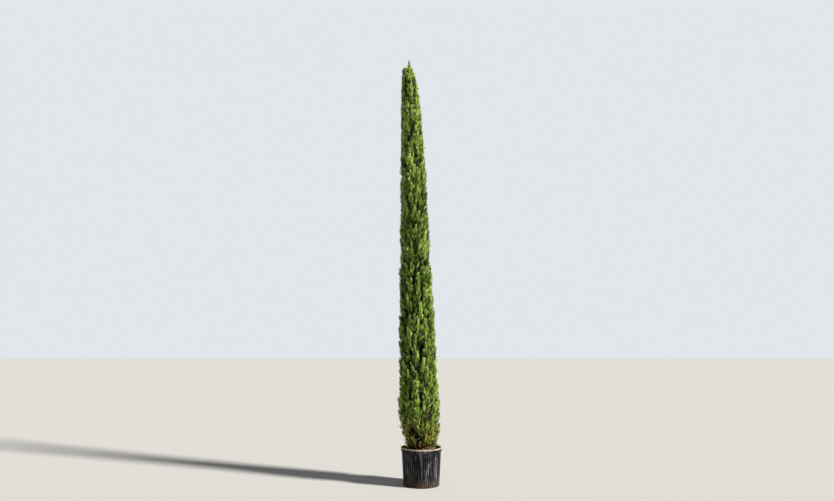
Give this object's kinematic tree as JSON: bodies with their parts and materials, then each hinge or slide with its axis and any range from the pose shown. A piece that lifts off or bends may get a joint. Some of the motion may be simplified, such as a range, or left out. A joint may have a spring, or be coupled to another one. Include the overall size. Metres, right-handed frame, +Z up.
{
  "type": "potted italian cypress tree",
  "caption": "Slim upright evergreen with dense flame-like foliage on a straight trunk, standing in a round black nursery pot.",
  "frame": {"origin": "centre of the pot's flat underside, on the ground", "axes": "+Z up along the plant, -Y towards the viewer of the picture, +X to that viewer's right"},
  "size_m": [0.5068, 0.4897, 5.13],
  "materials": {
    "pot": "black moulded plastic, dusty and scuffed",
    "soil": "dry potting soil with brown litter",
    "bark": "grey-brown bark in fine strips",
    "foliage": "scale-leaved sprays, yellow-green in the light and deep green inside"
  },
  "bodies": {
    "root": {"pot": "pot", "soil": "soil", "trunk": "bark", "bough_1": "bark", "bough_2": "bark", "bough_3": "bark", "bough_4": "bark", "bough_5": "bark", "skirt_foliage_1": "foliage", "skirt_foliage_2": "foliage", "skirt_foliage_3": "foliage", "skirt_foliage_4": "foliage", "skirt_foliage_5": "foliage", "foliage_row1_1": "foliage", "foliage_row1_2": "foliage", "foliage_row1_3": "foliage", "foliage_row1_4": "foliage", "foliage_row1_5": "foliage", "foliage_row2_1": "foliage", "foliage_row2_2": "foliage", "foliage_row2_3": "foliage", "foliage_row2_4": "foliage", "foliage_row2_5": "foliage", "foliage_row3_1": "foliage", "foliage_row3_2": "foliage", "foliage_row3_3": "foliage", "foliage_row3_4": "foliage", "foliage_row3_5": "foliage", "foliage_row4_1": "foliage", "foliage_row4_2": "foliage", "foliage_row4_3": "foliage", "foliage_row4_4": "foliage", "foliage_row4_5": "foliage", "foliage_row5_1": "foliage", "foliage_row5_2": "foliage", "foliage_row5_3": "foliage", "foliage_row5_4": "foliage", "foliage_row5_5": "foliage", "foliage_row6_1": "foliage", "foliage_row6_2": "foliage", "foliage_row6_3": "foliage", "foliage_row6_4": "foliage", "foliage_row6_5": "foliage", "foliage_row7_1": "foliage", "foliage_row7_2": "foliage", "foliage_row7_3": "foliage", "foliage_row7_4": "foliage", "foliage_row7_5": "foliage", "leader_foliage": "foliage"}
  },
  "joints": []
}
